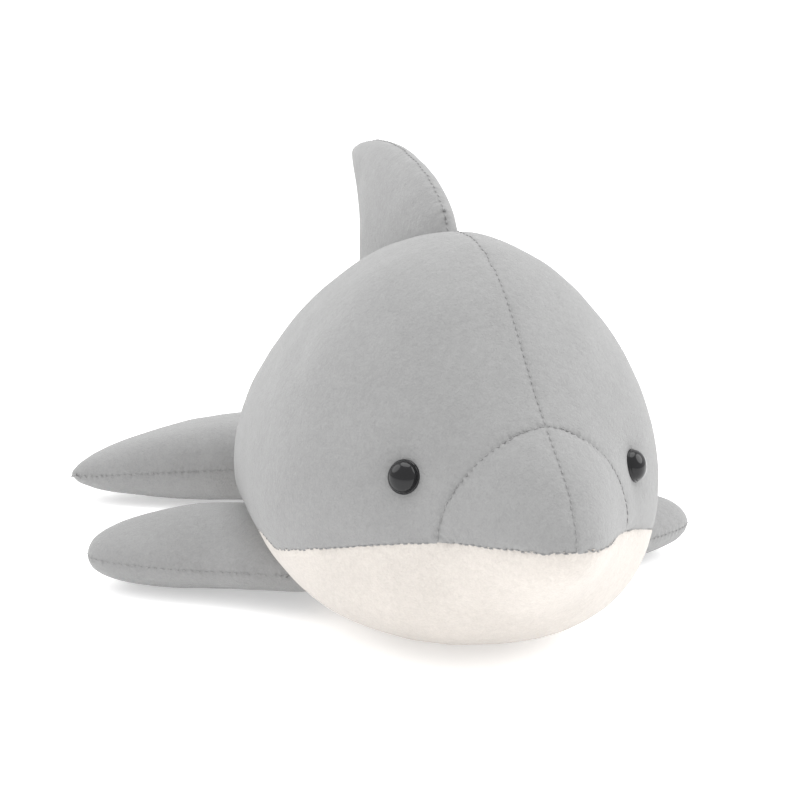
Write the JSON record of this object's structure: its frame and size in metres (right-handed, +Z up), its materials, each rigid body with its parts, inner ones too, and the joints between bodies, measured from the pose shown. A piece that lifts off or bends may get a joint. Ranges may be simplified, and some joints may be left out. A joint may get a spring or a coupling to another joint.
{
  "type": "plush dolphin",
  "caption": "Chubby plush dolphin lying on its belly, sewn from grey and cream short-pile panels, with domed black eyes, a swept dorsal fin, flippers and flat tail flukes.",
  "frame": {"origin": "centre of the whole object's length and width, on the surface that it lies on", "axes": "-Y towards the nose, +Y towards the tail flukes, +X towards the dolphin's left flipper, +Z up"},
  "size_m": [0.3218, 0.41, 0.2134],
  "materials": {
    "grey_plush": "short pile",
    "cream_plush": "short pile",
    "eye_black": "glossy",
    "washer_white": "moulded",
    "stuffing": "loose fibre"
  },
  "bodies": {
    "torso": {"back_panel_left": "grey_plush", "back_panel_right": "grey_plush", "beak_panel_left": "grey_plush", "beak_panel_right": "grey_plush", "belly_panel": "cream_plush", "body_stuffing": "stuffing", "eye_left": "eye_black", "eye_right": "eye_black", "eye_washer_left": "washer_white", "eye_washer_right": "washer_white"},
    "dorsal_fin": {"fin_panel_left": "grey_plush", "fin_panel_right": "grey_plush", "fin_stuffing": "stuffing"},
    "flipper_left": {"flipper_left_top": "grey_plush", "flipper_left_bottom": "grey_plush", "flipper_left_stuffing": "stuffing"},
    "flipper_right": {"flipper_right_top": "grey_plush", "flipper_right_bottom": "grey_plush", "flipper_right_stuffing": "stuffing"},
    "flukes": {"fluke_top": "grey_plush", "fluke_bottom": "grey_plush", "fluke_stuffing": "stuffing"}
  },
  "joints": [
    {"name": "fin_flop", "type": "hinge", "parent": "torso", "child": "dorsal_fin", "pos_m": [0, -0.03775, 0.18023], "axis": [0, 0.883, -0.4694], "range_deg": [-20, 20], "stiffness_Nm_per_rad": 0.12},
    {"name": "left_flap", "type": "hinge", "parent": "torso", "child": "flipper_left", "pos_m": [0.10114, -0.03175, 0.0175], "axis": [0.1736, -0.9848, 0], "range_deg": [-12, 60], "stiffness_Nm_per_rad": 0.08},
    {"name": "right_flap", "type": "hinge", "parent": "torso", "child": "flipper_right", "pos_m": [-0.10114, -0.03175, 0.0175], "axis": [0.1736, 0.9848, 0], "range_deg": [-12, 60], "stiffness_Nm_per_rad": 0.08},
    {"name": "tail_bend", "type": "hinge", "parent": "torso", "child": "flukes", "pos_m": [0, 0.14375, 0.025], "axis": [1, 0, 0], "range_deg": [-20, 35], "stiffness_Nm_per_rad": 0.4}
  ]
}
